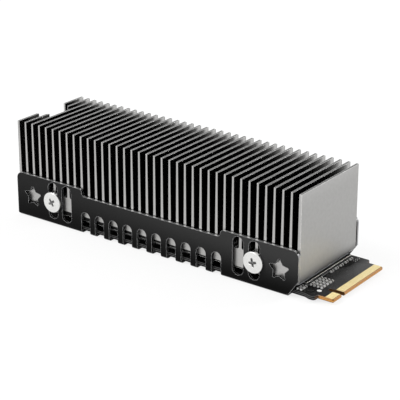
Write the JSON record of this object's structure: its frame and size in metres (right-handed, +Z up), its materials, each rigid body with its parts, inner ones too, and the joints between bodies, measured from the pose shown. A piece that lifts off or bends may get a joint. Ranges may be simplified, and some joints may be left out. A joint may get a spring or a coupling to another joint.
{
  "type": "ssd heat sink",
  "caption": "Tall finned aluminium heat sink held on a solid-state drive card by a folded black channel bracket with height slots, star cut-outs and side screws.",
  "frame": {"origin": "centre of the whole box, on the underside of the bracket", "axes": "+Z up through the fins, +X along the drive towards its edge connector, -Y the side with the key notch"},
  "size_m": [0.0822, 0.0244, 0.0221],
  "materials": {
    "block_aluminium": "fine blasted, satin",
    "bracket_black": "satin black coat",
    "screw_plated": "bright plated",
    "pad_silicone": "matte soft silicone",
    "film_black": "matte",
    "board_mask": "black solder mask",
    "contact_gold": "gold plated",
    "solder_tin": "tinned",
    "capacitor_ceramic": "ceramic with tinned ends",
    "resistor_black": "glazed top",
    "inductor_ferrite": "ferrite",
    "oscillator_can": "metal lid",
    "package_black": "moulded epoxy"
  },
  "bodies": {
    "clamped_drive": {"bracket": "bracket_black", "capacitors_cluster": "capacitor_ceramic", "capacitors_corner": "capacitor_ceramic", "capacitors_front": "capacitor_ceramic", "capacitors_memory": "capacitor_ceramic", "contacts_bottom": "contact_gold", "contacts_top": "contact_gold", "controller": "package_black", "dram": "package_black", "ground_pads": "solder_tin", "inductor_middle": "inductor_ferrite", "inductor_near": "inductor_ferrite", "insulating_film": "film_black", "memory_front": "package_black", "memory_rear": "package_black", "oscillator": "oscillator_can", "power_chip": "package_black", "resistors_far": "resistor_black", "ssd_board": "board_mask", "test_pad": "solder_tin"},
    "cooler": {"heatsink_body": "block_aluminium", "screw_near_rear": "screw_plated", "screw_near_front": "screw_plated", "screw_far_rear": "screw_plated", "screw_far_front": "screw_plated", "thermal_pad": "pad_silicone"}
  },
  "joints": [
    {"name": "height_adjust", "type": "slide", "parent": "clamped_drive", "child": "cooler", "axis": [0, 0, 1], "range_m": [0, 0.0031]}
  ]
}
